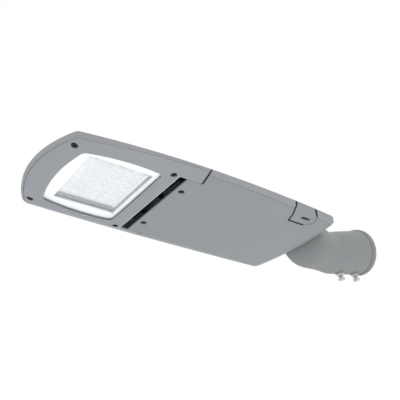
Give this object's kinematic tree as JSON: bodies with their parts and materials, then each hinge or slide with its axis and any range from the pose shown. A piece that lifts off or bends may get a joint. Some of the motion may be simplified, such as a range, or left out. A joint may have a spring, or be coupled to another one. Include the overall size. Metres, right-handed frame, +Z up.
{
  "type": "led street light head",
  "caption": "Flat LED street light head with glass window, hinged gear door with side latch, top cooling fins and tilting pole spigot.",
  "frame": {"origin": "centre of the pole socket's mouth", "axes": "+X from the nose towards the pole, +Z up with the housing level, +Y to the hinge side away from the latch"},
  "size_m": [0.6012, 0.2226, 0.1019],
  "materials": {
    "housing_coat": "fine-textured grey powder coat on die-cast aluminium",
    "bezel_coat": "fine-textured grey powder coat on die-cast aluminium",
    "door_coat": "fine-textured grey powder coat on die-cast aluminium",
    "spigot_coat": "grey powder coat on cast aluminium",
    "clear_glass": "clear tempered flat glass",
    "seal_rubber": "black silicone rubber",
    "grey_rubber": "grey silicone rubber",
    "dark_steel": "darkened steel",
    "white_mask": "white coated aluminium sheet",
    "lens_acrylic": "clear to milky moulded optic",
    "board_white": "white solder mask on an aluminium board",
    "led_phosphor": "yellow phosphor over white packages",
    "rail_coat": "grey coated clamp rail",
    "bright_steel": "stainless steel",
    "driver_case": "plain extruded aluminium case, potted",
    "black_plastic": "moulded black polyamide",
    "terminal_plastic": "moulded light grey polyamide",
    "surge_plastic": "moulded dark red housing"
  },
  "bodies": {
    "arm": {"spigot": "spigot_coat", "clamp_bolts": "bright_steel", "clamp_nuts": "bright_steel"},
    "head": {"top_housing": "housing_coat", "front_bezel": "bezel_coat", "window_glass": "clear_glass", "glass_gasket": "grey_rubber", "reflector_mask": "white_mask", "lens_plate": "lens_acrylic", "led_board": "board_white", "led_chips": "led_phosphor", "lens_clamp_rails": "rail_coat", "module_screws": "bright_steel", "bezel_screws": "dark_steel", "door_gasket": "seal_rubber", "hinge_pins": "dark_steel", "latch_catch": "bright_steel", "catch_screw": "bright_steel", "led_driver": "driver_case", "driver_screws": "bright_steel", "terminal_block": "terminal_plastic", "surge_protector": "surge_plastic", "side_screws": "bright_steel", "cable_gland": "black_plastic", "gland_nut": "black_plastic", "breather_valve": "black_plastic", "pivot_bolt": "bright_steel", "pivot_nut": "bright_steel", "pivot_washers": "bright_steel"},
    "door": {"gear_door": "door_coat", "hinge_leaves": "dark_steel", "hinge_screws": "dark_steel", "latch_pin": "bright_steel"},
    "latch": {"latch_lever": "door_coat"}
  },
  "joints": [
    {"name": "head_tilt", "type": "hinge", "parent": "arm", "child": "head", "pos_m": [-0.16102, 0, -0.00397], "axis": [0, -1, 0], "range_deg": [-1, 14]},
    {"name": "door_hinge", "type": "hinge", "parent": "head", "child": "door", "pos_m": [-0.40342, 0, -0.01997], "axis": [0, 1, 0], "range_deg": [0, 80]},
    {"name": "latch_hinge", "type": "hinge", "parent": "door", "child": "latch", "pos_m": [-0.20402, -0.073, -0.02737], "axis": [1, 0, 0], "range_deg": [0, 60]}
  ]
}
